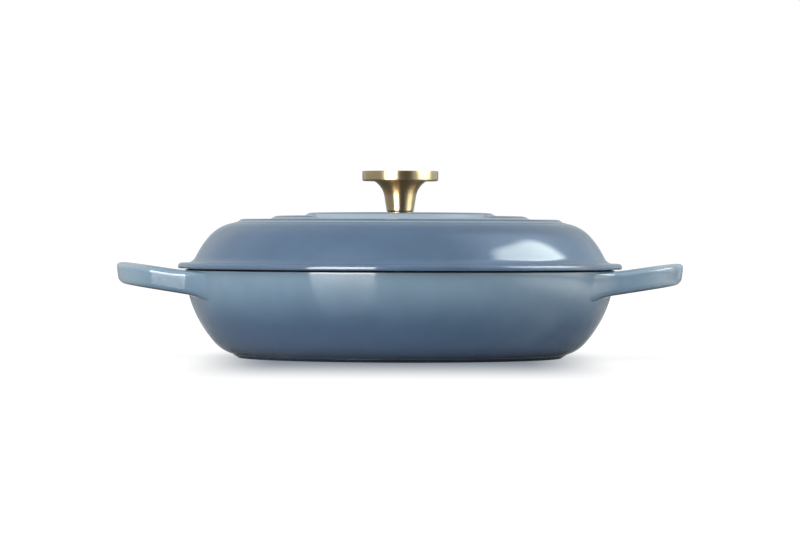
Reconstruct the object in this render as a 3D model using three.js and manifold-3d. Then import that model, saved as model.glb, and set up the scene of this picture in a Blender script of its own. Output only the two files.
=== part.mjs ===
// Shallow lidded casserole in enamelled cast iron: a round bowl with two cast loop handles, a stepped
// domed lid that rests on three pads, and a turned metal knob held by one screw from below the lid.
// Millimetres, +Z up. The origin is the middle of the foot on the table, the handles lie along X and
// the front faces -Y.
import * as THREE from "three";
import { mergeVertices } from "three/addons/utils/BufferGeometryUtils.js";
import Module from "manifold-3d";

const wasm = await Module();
wasm.setup();

const DEGREE = Math.PI / 180;

// Bowl
const RIM_RADIUS = 134.4; // outside of the rim
const RIM_HEIGHT = 55; // rim above the table
const RIM_EDGE = 0.8; // rounding of the rim's two edges
const RIM_LEAN = 2.6 * DEGREE; // lean of the wall at the rim
const WALL = 3.6; // thickness of the wall
const FLOOR = 5; // thickness of the base
const SIDE_RADIUS = 73.5; // arc of the wall from the rim down
const HEEL_RADIUS = 24.3; // arc of the wall into the base
const FOOT_HEIGHT = 2.7; // foot below the heel
const FOOT_STEP = 1; // foot set back from the heel
const FOOT_TAPER = 1.3; // foot narrowing down to the table
const FOOT_WIDTH = 14; // flat ring that stands on the table
const FOOT_RECESS = 0.8; // hollow inside that ring

// Loop handles
const HANDLE_REACH = 42; // tip beyond the rim
const HANDLE_WIDTH = 100; // across the two arms at the bowl
const HANDLE_BAR = 15.4; // width of the bar seen from above
const HANDLE_THICKNESS = 12.6; // height of the bar
const HANDLE_DROP = 8.4; // middle of the bar below the rim, at the rim's radius
const HANDLE_RISE = 0.15; // upward slope away from the bowl
const HANDLE_EDGE = 3.6; // rounding of the bar's edges
const HANDLE_ROOT = 8; // fillet between an arm and the bowl
const HANDLE_ARM_FULLNESS = 0.76; // how long an arm stays straight, as a share of its length
const HANDLE_END_FULLNESS = 0.6; // how far the end stays straight, as a share of the half width

// Lid
const LID_GAP = 0.6; // height of the three rest pads
const FLANGE_OVERHANG = 4.5; // flange beyond the rim
const FLANGE_THICKNESS = 3.5; // height of the flange
const FLANGE_EDGE = 1.4; // rounding of its edge
const LID_WALL = 3.5; // thickness of the dome
const DOME_HEIGHT = 25.3; // crown above the flange
const DOME_INSET = 4.9; // foot of the dome inside the rim's outside
const DOME_SIDE_RADIUS = 57; // arc of the dome's side
const DOME_SHOULDER_RADIUS = 25.7; // arc of the shoulder
const DOME_TURN = 41.6 * DEGREE; // where the side turns into the shoulder
const DOME_COVE = 4; // fillet between the flange and the dome
const CROWN_SAG = 5.4; // rise of the underside from the shoulder to the middle
const LIP_DEPTH = 3.5; // locating lip below the rim
const LIP_CLEARANCE = 1.5; // lip inside the bowl's wall
const PAD_COUNT = 3; // rest pads under the flange
const PAD_WIDTH = 6; // along the rim
const PAD_ROOT = 1; // depth of a pad into the flange

// Stepped rings on the crown
const RING_SPACING = 21.8; // from one ring to the next
const RING_RISE = 2.2; // height of each step
const RING_SLOPE = 58 * DEGREE; // steepest part of a step
const RING_OPENING = 46 * DEGREE; // half of the front gap in the middle ring
const RING_EASE = 5 * DEGREE; // half of the ramp at each end of that gap

// Knob
const KNOB_RADIUS = 23.8; // head
const KNOB_HEAD = 6.3; // height of the head
const KNOB_HEAD_EDGE = 1.2; // rounding below the band
const KNOB_HEAD_RIM = 0.5; // rounding above the band
const KNOB_DISH = 0.4; // hollow of the top
const STEM_HEIGHT = 19.4; // lid to head
const STEM_FOOT_RADIUS = 8.6; // stem where it stands on the lid
const STEM_FOOT_EDGE = 0.8; // rounding of that foot
const STEM_TAPER = 0.156; // widening of the stem per height
const STEM_FLARE_RADIUS = 13.4; // arc of the flare
const STEM_FLARE_TURN = 60 * DEGREE; // where the flare meets the head
const SPIGOT_RADIUS = 7; // peg of the head inside the stem
const SPIGOT_LENGTH = 4.6;
const FIT_GAP = 0.3; // clearance round the peg, the screw and the washer

// Screw and washer below the lid
const SCREW_RADIUS = 3; // M6
const SCREW_LENGTH = 16; // below the head
const SCREW_HEAD_RADIUS = 6;
const SCREW_HEAD_HEIGHT = 3.3;
const SCREW_HEAD_EDGE = 1.4;
const SCREW_TIP = 0.8;
const RECESS_LENGTH = 6.4; // cross recess
const RECESS_WIDTH = 1.3;
const RECESS_DEPTH = 1.8;
const WASHER_RADIUS = 9;
const WASHER_THICKNESS = 1.4;
const WASHER_EDGE = 0.3;

// Fineness
const ROUND = 60; // sides of the bowl and the lid
const KNOB_ROUND = 40;
const SCREW_ROUND = 24;
const CURVE_STEPS = 8; // along each curve of a handle
const MERGE = 1e-4;

// Places that follow from the sizes above
const FLANGE_BOTTOM = RIM_HEIGHT + LID_GAP;
const FLANGE_TOP = FLANGE_BOTTOM + FLANGE_THICKNESS;
const FLANGE_RADIUS = RIM_RADIUS + FLANGE_OVERHANG;
const CROWN = FLANGE_TOP + DOME_HEIGHT;
const LID_TOP = CROWN + 3 * RING_RISE;
const HEAD_BOTTOM = LID_TOP + STEM_HEIGHT;
const HEAD_TOP = HEAD_BOTTOM + KNOB_HEAD;
const LID_UNDERSIDE = CROWN - LID_WALL + CROWN_SAG;
const WASHER_BOTTOM = LID_UNDERSIDE - WASHER_THICKNESS;
const SCREW_TOP = WASHER_BOTTOM + SCREW_LENGTH;
const BORE = SCREW_RADIUS + FIT_GAP;

// The bowl's two arcs turn about these centres, outside and inside alike.
const SIDE_CENTRE = new THREE.Vector2(
  RIM_RADIUS - SIDE_RADIUS * Math.cos(RIM_LEAN),
  RIM_HEIGHT + SIDE_RADIUS * Math.sin(RIM_LEAN),
);
const HEEL_LEVEL = FLOOR + HEEL_RADIUS - WALL;
const HEEL_TURN = Math.asin((SIDE_CENTRE.y - HEEL_LEVEL) / (SIDE_RADIUS - HEEL_RADIUS));
const HEEL_CENTRE = new THREE.Vector2(
  SIDE_CENTRE.x + (SIDE_RADIUS - HEEL_RADIUS) * Math.cos(HEEL_TURN),
  HEEL_LEVEL,
);

// So do the dome's.
const SHOULDER_LEVEL = CROWN - DOME_SHOULDER_RADIUS;
const DOME_LEVEL = SHOULDER_LEVEL - (DOME_SIDE_RADIUS - DOME_SHOULDER_RADIUS) * Math.sin(DOME_TURN);
const DOME_FOOT_TURN = Math.asin((FLANGE_TOP - DOME_LEVEL) / DOME_SIDE_RADIUS);
const DOME_CENTRE = new THREE.Vector2(
  RIM_RADIUS - DOME_INSET - DOME_SIDE_RADIUS * Math.cos(DOME_FOOT_TURN),
  DOME_LEVEL,
);
const SHOULDER_CENTRE = new THREE.Vector2(
  DOME_CENTRE.x + (DOME_SIDE_RADIUS - DOME_SHOULDER_RADIUS) * Math.cos(DOME_TURN),
  SHOULDER_LEVEL,
);

// Half of the run of one ring step, and the radius of its two arcs.
const RING_ARC = RING_RISE / (2 * (1 - Math.cos(RING_SLOPE)));
const RING_RUN = RING_ARC * Math.sin(RING_SLOPE);

// Points of a profile along an arc, from one angle to another above the outward direction.
function arc(centre, radius, from, to, steps) {
  const points = [];
  for (let i = 0; i <= steps; i += 1) {
    const angle = from + ((to - from) * i) / steps;
    points.push(new THREE.Vector2(centre.x + radius * Math.cos(angle), centre.y + radius * Math.sin(angle)));
  }
  return points;
}

function point(radius, height) {
  return new THREE.Vector2(radius, height);
}

// A profile of radius and height turned about +Z.
function revolve(profile, sides) {
  const geometry = new THREE.LatheGeometry(profile, sides);
  geometry.rotateX(Math.PI / 2);
  return geometry;
}

// A closed solid from a geometry, without the empty triangles on its axis.
function toSolid(geometry) {
  const bare = geometry.clone();
  bare.deleteAttribute("normal");
  bare.deleteAttribute("uv");
  const merged = mergeVertices(bare, MERGE);
  const corners = merged.index.array;
  const kept = [];
  for (let i = 0; i < corners.length; i += 3) {
    const [a, b, c] = corners.slice(i, i + 3);
    if (a !== b && b !== c && c !== a) {
      kept.push(a, b, c);
    }
  }
  const mesh = new wasm.Mesh({
    numProp: 3,
    vertProperties: new Float32Array(merged.attributes.position.array),
    triVerts: new Uint32Array(kept),
  });
  return new wasm.Manifold(mesh);
}

function toGeometry(solid) {
  const mesh = solid.getMesh();
  const geometry = new THREE.BufferGeometry();
  geometry.setAttribute("position", new THREE.BufferAttribute(mesh.vertProperties, 3));
  geometry.setIndex(new THREE.BufferAttribute(mesh.triVerts, 1));
  geometry.computeVertexNormals();
  return geometry;
}

// Outside of the bowl as a full solid, from the recess below up to the rim.
function bowlOutside() {
  const footTurn = Math.asin((HEEL_CENTRE.y - FOOT_HEIGHT) / HEEL_RADIUS);
  const heelFoot = HEEL_CENTRE.x + HEEL_RADIUS * Math.cos(footTurn);
  const footTop = heelFoot - FOOT_STEP;
  const footBottom = footTop - FOOT_TAPER;
  const rimTurn = Math.asin((SIDE_CENTRE.y - RIM_HEIGHT + RIM_EDGE) / SIDE_RADIUS);
  const side = arc(SIDE_CENTRE, SIDE_RADIUS, -HEEL_TURN, -rimTurn, 8);
  const profile = [
    point(0, FOOT_RECESS),
    point(footBottom - FOOT_WIDTH - FOOT_RECESS, FOOT_RECESS),
    point(footBottom - FOOT_WIDTH, 0),
    point(footBottom, 0),
    point(footTop, FOOT_HEIGHT - FOOT_STEP / 2),
    ...arc(HEEL_CENTRE, HEEL_RADIUS, -footTurn, -HEEL_TURN, 6),
    ...side.slice(1),
    point(RIM_RADIUS - RIM_EDGE, RIM_HEIGHT),
    point(0, RIM_HEIGHT),
  ];
  return toSolid(revolve(profile, ROUND));
}

// Hollow of the bowl, carried on above the rim.
function bowlInside() {
  const side = SIDE_RADIUS - WALL;
  const rimTurn = Math.asin((SIDE_CENTRE.y - RIM_HEIGHT + RIM_EDGE) / side);
  const mouth = SIDE_CENTRE.x + side * Math.cos(rimTurn) + RIM_EDGE;
  const profile = [
    point(0, FLOOR),
    ...arc(HEEL_CENTRE, HEEL_RADIUS - WALL, -Math.PI / 2, -HEEL_TURN, 5),
    ...arc(SIDE_CENTRE, side, -HEEL_TURN, -rimTurn, 6).slice(1),
    point(mouth, RIM_HEIGHT),
    point(mouth, RIM_HEIGHT + WALL),
    point(0, RIM_HEIGHT + WALL),
  ];
  return toSolid(revolve(profile, ROUND));
}

// Radius of the bowl's outside at a height on its upper arc.
function wallRadius(height) {
  const turn = Math.asin((SIDE_CENTRE.y - height) / SIDE_RADIUS);
  return SIDE_CENTRE.x + SIDE_RADIUS * Math.cos(turn);
}

// Outline of a loop seen from above, on the outside of its arms (side 1) or round its opening (side -1).
// Each arm leaves the bowl through a fillet and runs on one full curve to the tip.
function loopOutline(half, tip, side, buried) {
  const wall = wallRadius(RIM_HEIGHT - HANDLE_DROP - HANDLE_THICKNESS / 2);
  const offset = half + side * HANDLE_ROOT;
  const root = Math.sqrt((wall + HANDLE_ROOT) ** 2 - offset ** 2);
  const lean = Math.atan2(offset, root);
  const start = point((wall - buried) * Math.cos(lean), (wall - buried) * Math.sin(lean));
  const fillet = arc(point(root, offset), HANDLE_ROOT, lean - side * Math.PI, (-side * Math.PI) / 2, 4);
  const arm = new THREE.CubicBezierCurve(
    point(root, half),
    point(root + HANDLE_ARM_FULLNESS * (tip - root), half),
    point(tip, HANDLE_END_FULLNESS * half),
    point(tip, 0),
  );
  const upper = [start, ...fillet, ...arm.getPoints(CURVE_STEPS).slice(1)];
  const lower = upper.map((place) => point(place.x, -place.y));
  return [...lower, ...upper.reverse().slice(1)];
}

// The opening runs into the wall, which closes it. The arms reach on into the hollow, which cuts them off.
function handleLoop() {
  const half = HANDLE_WIDTH / 2;
  const tip = RIM_RADIUS + HANDLE_REACH;
  const loop = new THREE.Shape(loopOutline(half, tip, 1, 2 * HANDLE_ROOT));
  const opening = loopOutline(half - HANDLE_BAR, tip - HANDLE_BAR, -1, WALL / 2);
  loop.holes.push(new THREE.Path(opening));
  return loop;
}

// The loop given its height and rounded edges, then sloped up away from the bowl.
function handle(turn) {
  const geometry = new THREE.ExtrudeGeometry(handleLoop(), {
    depth: HANDLE_THICKNESS - 2 * HANDLE_EDGE,
    bevelThickness: HANDLE_EDGE,
    bevelSize: HANDLE_EDGE,
    bevelOffset: -HANDLE_EDGE,
    bevelSegments: 3,
  });
  geometry.translate(0, 0, RIM_HEIGHT - HANDLE_DROP - HANDLE_THICKNESS / 2 + HANDLE_EDGE);
  const slope = new THREE.Matrix4();
  slope.makeShear(0, HANDLE_RISE, 0, 0, 0, 0);
  geometry.applyMatrix4(slope);
  geometry.translate(0, 0, -HANDLE_RISE * RIM_RADIUS);
  geometry.rotateZ(turn);
  return toSolid(geometry);
}

function potBody() {
  const casting = bowlOutside().add(handle(0)).add(handle(Math.PI));
  return toGeometry(casting.subtract(bowlInside()));
}

// One step of the crown, from its foot in to its top: a hollow arc and a round one.
function ringStep(radius, foot) {
  const hollow = point(radius + RING_RUN, foot + RING_ARC);
  const crest = point(radius - RING_RUN, foot + RING_RISE - RING_ARC);
  const down = -Math.PI / 2;
  return [
    ...arc(hollow, RING_ARC, down, down - RING_SLOPE, 2),
    ...arc(crest, RING_ARC, Math.PI / 2 - RING_SLOPE, Math.PI / 2, 2).slice(1),
  ];
}

// Fillet between the top of the flange and the side of the dome.
function domeCove() {
  const level = FLANGE_TOP + DOME_COVE;
  const turn = Math.asin((level - DOME_CENTRE.y) / (DOME_SIDE_RADIUS + DOME_COVE));
  const centre = point(DOME_CENTRE.x + (DOME_SIDE_RADIUS + DOME_COVE) * Math.cos(turn), level);
  const cove = arc(centre, DOME_COVE, -Math.PI / 2, turn - Math.PI, 3);
  return { cove, turn };
}

function lidProfile() {
  const { cove, turn } = domeCove();
  const edge = point(FLANGE_RADIUS - FLANGE_EDGE, FLANGE_TOP - FLANGE_EDGE);
  const rings = [0, 1, 2].map((step) => (
    ringStep(SHOULDER_CENTRE.x - step * RING_SPACING, CROWN + step * RING_RISE)
  ));
  const mouth = SIDE_CENTRE.x + (SIDE_RADIUS - WALL) * Math.cos(RIM_LEAN);
  const lip = mouth - LIP_CLEARANCE;
  const lipBottom = RIM_HEIGHT - LIP_DEPTH;
  const inside = DOME_SIDE_RADIUS - LID_WALL;
  const insideTurn = Math.asin((FLANGE_BOTTOM - DOME_CENTRE.y) / inside);
  const insideFoot = DOME_CENTRE.x + inside * Math.cos(insideTurn);
  const crownInside = point(SHOULDER_CENTRE.x, CROWN - LID_WALL);
  return [
    point(BORE, LID_UNDERSIDE),
    point(WASHER_RADIUS + RING_RUN, LID_UNDERSIDE),
    ...arc(SHOULDER_CENTRE, DOME_SHOULDER_RADIUS - LID_WALL, Math.PI / 2, DOME_TURN, 3),
    ...arc(DOME_CENTRE, inside, DOME_TURN, insideTurn, 3).slice(1),
    point(insideFoot, lipBottom),
    point(lip - RIM_EDGE, lipBottom),
    point(lip, lipBottom + RIM_EDGE),
    point(lip, FLANGE_BOTTOM),
    point(FLANGE_RADIUS - FLANGE_EDGE / 2, FLANGE_BOTTOM),
    point(FLANGE_RADIUS, FLANGE_BOTTOM + FLANGE_EDGE / 2),
    ...arc(edge, FLANGE_EDGE, 0, Math.PI / 2, 3),
    ...cove,
    ...arc(DOME_CENTRE, DOME_SIDE_RADIUS, turn, DOME_TURN, 5).slice(1),
    ...arc(SHOULDER_CENTRE, DOME_SHOULDER_RADIUS, DOME_TURN, Math.PI / 2 - RING_EASE, 5).slice(1),
    ...rings.flat(),
    point(BORE, LID_TOP),
    point(BORE, LID_UNDERSIDE),
  ];
}

// The middle ring stops short across the front, where its land sinks to the one below with eased ends.
function openMiddleRing(geometry) {
  const place = geometry.attributes.position;
  const firstLand = CROWN + RING_RISE;
  const thirdFoot = SHOULDER_CENTRE.x - 2 * RING_SPACING + RING_RUN - FIT_GAP;
  for (let i = 0; i < place.count; i += 1) {
    const above = place.getZ(i) - firstLand;
    const radius = Math.hypot(place.getX(i), place.getY(i));
    const away = Math.abs(Math.atan2(place.getX(i), -place.getY(i)));
    const kept = THREE.MathUtils.smoothstep(away, RING_OPENING - RING_EASE, RING_OPENING + RING_EASE);
    if (above > 0 && radius > thirdFoot) {
      place.setZ(i, firstLand + above * kept);
    }
  }
}

// A pad below the flange that stands on the rim.
function restPad(index) {
  const land = WALL - 2 * RIM_EDGE;
  const geometry = new THREE.BoxGeometry(PAD_WIDTH, land, LID_GAP + PAD_ROOT);
  geometry.translate(0, -RIM_RADIUS + WALL / 2, RIM_HEIGHT + (LID_GAP + PAD_ROOT) / 2);
  geometry.rotateZ((index * 2 * Math.PI) / PAD_COUNT);
  return toSolid(geometry);
}

function lid() {
  const casting = revolve(lidProfile(), ROUND);
  openMiddleRing(casting);
  let solid = toSolid(casting);
  for (let i = 0; i < PAD_COUNT; i += 1) {
    solid = solid.add(restPad(i));
  }
  return toGeometry(solid);
}

// Head of the knob: a flat band with a dished top and a peg that enters the stem.
function knobCap() {
  const under = point(KNOB_RADIUS - KNOB_HEAD_EDGE, HEAD_BOTTOM + KNOB_HEAD_EDGE);
  const above = point(KNOB_RADIUS - KNOB_HEAD_RIM, HEAD_TOP - KNOB_HEAD_RIM);
  const pegEnd = HEAD_BOTTOM - SPIGOT_LENGTH;
  return revolve([
    point(0, pegEnd),
    point(SPIGOT_RADIUS - FIT_GAP, pegEnd),
    point(SPIGOT_RADIUS, pegEnd + FIT_GAP),
    point(SPIGOT_RADIUS, HEAD_BOTTOM),
    ...arc(under, KNOB_HEAD_EDGE, -Math.PI / 2, 0, 4),
    ...arc(above, KNOB_HEAD_RIM, 0, Math.PI / 2, 3),
    point(KNOB_RADIUS * 0.8, HEAD_TOP - KNOB_DISH * 0.7),
    point(KNOB_RADIUS * 0.4, HEAD_TOP - KNOB_DISH),
    point(0, HEAD_TOP - KNOB_DISH),
  ], KNOB_ROUND);
}

// Stem of the knob: a taper that opens into a flare, with a socket above and a tapped bore below.
function knobStem() {
  const start = Math.atan(STEM_TAPER);
  const flareLevel = HEAD_BOTTOM - STEM_FLARE_RADIUS * Math.sin(STEM_FLARE_TURN);
  const flareStart = flareLevel + STEM_FLARE_RADIUS * Math.sin(start);
  const foot = LID_TOP + STEM_FOOT_EDGE;
  const waist = STEM_FOOT_RADIUS + STEM_TAPER * (flareStart - foot);
  const flare = point(waist + STEM_FLARE_RADIUS * Math.cos(start), flareLevel);
  const socket = SPIGOT_RADIUS + FIT_GAP;
  const socketEnd = HEAD_BOTTOM - SPIGOT_LENGTH - FIT_GAP;
  const boreEnd = SCREW_TOP + FIT_GAP;
  const edge = point(STEM_FOOT_RADIUS - STEM_FOOT_EDGE, foot);
  return revolve([
    point(0, boreEnd),
    point(BORE, boreEnd),
    point(BORE, LID_TOP),
    ...arc(edge, STEM_FOOT_EDGE, -Math.PI / 2, 0, 2),
    ...arc(flare, STEM_FLARE_RADIUS, Math.PI - start, Math.PI - STEM_FLARE_TURN, 8),
    point(socket, HEAD_BOTTOM),
    point(socket, socketEnd),
    point(0, socketEnd),
  ], KNOB_ROUND);
}

function knobScrew() {
  const headBottom = WASHER_BOTTOM - SCREW_HEAD_HEIGHT;
  const edge = point(SCREW_HEAD_RADIUS - SCREW_HEAD_EDGE, headBottom + SCREW_HEAD_EDGE);
  const shank = toSolid(revolve([
    point(0, headBottom),
    ...arc(edge, SCREW_HEAD_EDGE, -Math.PI / 2, 0, 3),
    point(SCREW_HEAD_RADIUS, WASHER_BOTTOM),
    point(SCREW_RADIUS, WASHER_BOTTOM),
    point(SCREW_RADIUS, SCREW_TOP - SCREW_TIP),
    point(SCREW_RADIUS - SCREW_TIP, SCREW_TOP),
    point(0, SCREW_TOP),
  ], SCREW_ROUND));
  const bar = new THREE.BoxGeometry(RECESS_LENGTH, RECESS_WIDTH, 2 * RECESS_DEPTH);
  bar.translate(0, 0, headBottom);
  const across = bar.clone().rotateZ(Math.PI / 2);
  return toGeometry(shank.subtract(toSolid(bar)).subtract(toSolid(across)));
}

function knobWasher() {
  return revolve([
    point(BORE, WASHER_BOTTOM),
    point(WASHER_RADIUS - WASHER_EDGE, WASHER_BOTTOM),
    point(WASHER_RADIUS, WASHER_BOTTOM + WASHER_EDGE),
    point(WASHER_RADIUS, LID_UNDERSIDE),
    point(BORE, LID_UNDERSIDE),
    point(BORE, WASHER_BOTTOM),
  ], SCREW_ROUND);
}

const enamel = new THREE.MeshStandardMaterial({ color: 0x6f87a0, metalness: 0, roughness: 0.25 });
const gold = new THREE.MeshStandardMaterial({ color: 0xb9a57d, metalness: 1, roughness: 0.3 });
const steel = new THREE.MeshStandardMaterial({ color: 0xb4b6b8, metalness: 1, roughness: 0.35 });

const group = new THREE.Group();
const pieces = [
  ["pot_body", potBody(), enamel],
  ["lid", lid(), enamel],
  ["knob_stem", knobStem(), gold],
  ["knob_cap", knobCap(), gold],
  ["knob_screw", knobScrew(), steel],
  ["knob_washer", knobWasher(), steel],
];
for (const [name, geometry, material] of pieces) {
  const mesh = new THREE.Mesh(geometry, material);
  mesh.name = name;
  group.add(mesh);
}

export default group;
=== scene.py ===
"""Shallow lidded casserole in blue enamelled cast iron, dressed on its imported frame.

Sizes in the classes are millimetres in the part's own frame: +Z up, the foot on Z 0, the handles along X and
the front towards -Y. Meshes are made in metres.
"""
import logging
import math
from dataclasses import dataclass, field
from enum import Enum
from typing import Any, Sequence

import bmesh
import bpy
import numpy as np
from mathutils import Matrix, Vector
from numpy.typing import NDArray


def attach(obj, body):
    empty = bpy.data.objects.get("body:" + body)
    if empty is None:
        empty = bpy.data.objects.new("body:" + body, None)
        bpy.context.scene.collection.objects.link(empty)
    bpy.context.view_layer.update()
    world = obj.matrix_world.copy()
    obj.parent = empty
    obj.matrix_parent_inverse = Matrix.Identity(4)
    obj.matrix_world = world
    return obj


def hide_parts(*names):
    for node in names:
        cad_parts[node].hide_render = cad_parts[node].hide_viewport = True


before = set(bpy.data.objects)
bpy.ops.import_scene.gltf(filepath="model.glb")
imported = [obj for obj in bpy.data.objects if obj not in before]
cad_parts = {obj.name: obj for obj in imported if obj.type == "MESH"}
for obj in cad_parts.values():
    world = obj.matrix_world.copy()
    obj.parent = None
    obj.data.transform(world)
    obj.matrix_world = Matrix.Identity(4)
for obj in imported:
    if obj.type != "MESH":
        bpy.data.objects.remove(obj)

Array = NDArray[np.float64]
Colour = tuple[float, float, float]
Span = tuple[float, float]
Stops = tuple[tuple[float, Colour], ...]
Material = bpy.types.Material
Socket = bpy.types.NodeSocket

MM = 0.001
MERGE = 1e-7  # metres between points of a mesh that become one
SAME_POINT = 1e-6  # millimetres between points of a profile that count as one
NOISE_SPAN = (0.3, 0.7)  # where most values of a noise lie
FRAME_WIDTH = 800.0  # pixels
SENSOR = 36.0  # millimetres
WHITE: Colour = (1.0, 1.0, 1.0)
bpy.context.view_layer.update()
LOG = logging.getLogger("casserole")


class Body(Enum):
    """Moving bodies of the frame."""

    POT = "pot"
    LID = "lid"


class Slot(Enum):
    """Material slots of the record."""

    ENAMEL = "blue_enamel"
    GOLD = "gold_metal"
    STEEL = "steel"


def srgb(red: float, green: float, blue: float) -> Colour:
    """Colour as a shader takes it: each display value made linear by the standard curve.

    Args:
        red: Display value of 0 to 255.
        green: The same.
        blue: The same.

    Returns:
        The linear values.
    """
    values = np.array([red, green, blue]) / 255.0
    linear = np.where(values <= 0.04045, values / 12.92, ((values + 0.055) / 1.055) ** 2.4)
    return tuple(float(v) for v in linear)


def smoothstep(value: Array, low: float, high: float) -> Array:
    """Eased ramp from 0 at low to 1 at high: 3 t squared less 2 t cubed."""
    t = np.clip((value - low) / (high - low), 0.0, 1.0)
    return t * t * (3.0 - 2.0 * t)


def arc(centre: Sequence[float], radius: float, start: float, end: float, count: int) -> Array:
    """Points on a circular arc of a profile.

    Args:
        centre: Radius and height of the arc's centre.
        radius: Radius of the arc.
        start: First angle, in degrees above the outward direction.
        end: Last angle.
        count: Number of points.

    Returns:
        Points as rows of radius and height.
    """
    angles = np.radians(np.linspace(start, end, count))
    return np.column_stack([centre[0] + radius * np.cos(angles), centre[1] + radius * np.sin(angles)])


def rounded(wide: float, high: float, edges: Sequence[float], count: int) -> Array:
    """Points of a rounded rectangle: a quarter of a circle at each corner, from the right upper one to the left.

    Args:
        wide: Half its width.
        high: Half its height.
        edges: Radius of each corner.
        count: Number of points at a corner.

    Returns:
        Points as rows of width and height.
    """
    corners = zip(edges, (1, -1, -1, 1), (1, 1, -1, -1), (0, 90, 180, 270))
    return np.vstack([arc((x * (wide - edge), y * (high - edge)), edge, start, start + 90, count)
                      for edge, x, y, start in corners])


def line(start: Sequence[float], end: Sequence[float], count: int) -> Array:
    """Evenly spaced points of a profile from one point to another."""
    return np.linspace(np.array(start, float), np.array(end, float), count)


def chain(*runs: Array) -> tuple[Array, Array]:
    """Joins runs of points into one profile.

    Args:
        runs: Runs of points, each starting where the last one ended.

    Returns:
        The points without the repeats at the joins, and for each point the number of the run it came from.
    """
    points = np.vstack(runs)
    owner = np.repeat(np.arange(len(runs)), [len(run) for run in runs])
    fresh = np.r_[True, np.hypot(*np.diff(points, axis=0).T) > SAME_POINT]
    return points[fresh], owner[fresh]


def revolve(profile: Array, angles: Array) -> Array:
    """Turns a profile about +Z: x = r sin t, y = -r cos t, with t counted from the front.

    Args:
        profile: Rows of radius and height.
        angles: Angles t, in radians.

    Returns:
        A grid of points, one row for each angle.
    """
    radius, height = profile[:, 0], profile[:, 1]
    x = np.outer(np.sin(angles), radius)
    y = np.outer(-np.cos(angles), radius)
    z = np.broadcast_to(height, x.shape)
    return np.stack([x, y, z], axis=-1)


def even_turn(count: int) -> Array:
    """Angles of one full turn, evenly spaced, without the repeated last one."""
    return np.linspace(-math.pi, math.pi, count, endpoint=False)


@dataclass
class Sheet:
    """A grid of points that becomes one mesh.

    Attributes:
        grid: Points in millimetres, rows by columns by 3.
        round_rows: Whether the last row joins the first.
        round_columns: Whether the last column joins the first.
        zones: Material number of each strip between two columns.
        flip: Whether the faces are turned the other way.
        values: Named numbers of the points, which become attributes of the mesh.
    """

    grid: Array
    round_rows: bool = True
    round_columns: bool = False
    zones: Array | None = None
    flip: bool = False
    values: dict[str, Array] = field(default_factory=dict)

    def mesh(self, name: str) -> bpy.types.Mesh:
        """Makes the mesh: four neighbours of the grid make a face, with u and v along rows and columns.

        Args:
            name: Name of the mesh.

        Returns:
            The mesh, shaded smooth, with points that fall together merged.
        """
        rows, columns = self.grid.shape[:2]
        r = np.arange(rows if self.round_rows else rows - 1)
        c = np.arange(columns if self.round_columns else columns - 1)
        r0, c0 = (part.ravel() for part in np.meshgrid(r, c, indexing="ij"))
        r1, c1 = r0 + 1, c0 + 1
        corners = [(r0, c0), (r1, c0), (r1, c1), (r0, c1)]
        if self.flip:
            corners.reverse()
        index = np.stack([(a % rows) * columns + b % columns for a, b in corners], axis=1)
        turn = np.stack([np.stack([a / rows, b / columns], axis=-1) for a, b in corners], axis=1)
        count = len(index)
        mesh = bpy.data.meshes.new(name)
        mesh.vertices.add(rows * columns)
        mesh.vertices.foreach_set("co", (self.grid * MM).ravel())
        mesh.loops.add(4 * count)
        mesh.loops.foreach_set("vertex_index", index.ravel().astype(np.int32))
        mesh.polygons.add(count)
        mesh.polygons.foreach_set("loop_start", np.arange(0, 4 * count, 4, dtype=np.int32))
        if self.zones is not None:
            mesh.polygons.foreach_set("material_index", self.zones[c0].astype(np.int32))
        mesh.uv_layers.new(name="turn").uv.foreach_set("vector", turn.ravel())
        for key, value in self.values.items():
            layer = mesh.attributes.new(key, "FLOAT", "POINT")
            layer.data.foreach_set("value", value.astype(np.float32).ravel())
        mesh.update(calc_edges=True)
        mesh.validate()
        work = bmesh.new()
        work.from_mesh(mesh)
        bmesh.ops.remove_doubles(work, verts=work.verts, dist=MERGE)
        work.to_mesh(mesh)
        work.free()
        mesh.shade_smooth()
        return mesh


def put(name: str, data: bpy.types.ID, *finishes: Material) -> bpy.types.Object:
    """Puts a new object into the scene.

    Args:
        name: Name of the object.
        data: Its mesh, lamp or camera.
        finishes: Its materials, in the order of the mesh's zone numbers.

    Returns:
        The object.
    """
    thing = bpy.data.objects.new(name, data)
    bpy.context.scene.collection.objects.link(thing)
    for finish in finishes:
        thing.data.materials.append(finish)
    return thing


def piece(sheet: Sheet, name: str, body: Body, slot: Slot, finishes: Sequence[Material],
          nodes: Sequence[str] = ()) -> None:
    """Puts a sheet into the scene as a piece of the object.

    Args:
        sheet: The grid of points.
        name: Name of the piece.
        body: Body it moves with.
        slot: Slot of the record; not used.
        finishes: Materials, in the order of the sheet's zone numbers.
        nodes: Solids of the frame that it stands for.
    """
    thing = put(name, sheet.mesh(name), *finishes)
    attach(thing, body.value)
    if nodes:
        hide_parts(*nodes)
    LOG.info("%s: %d faces on body %s", name, len(thing.data.polygons), body.value)


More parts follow.
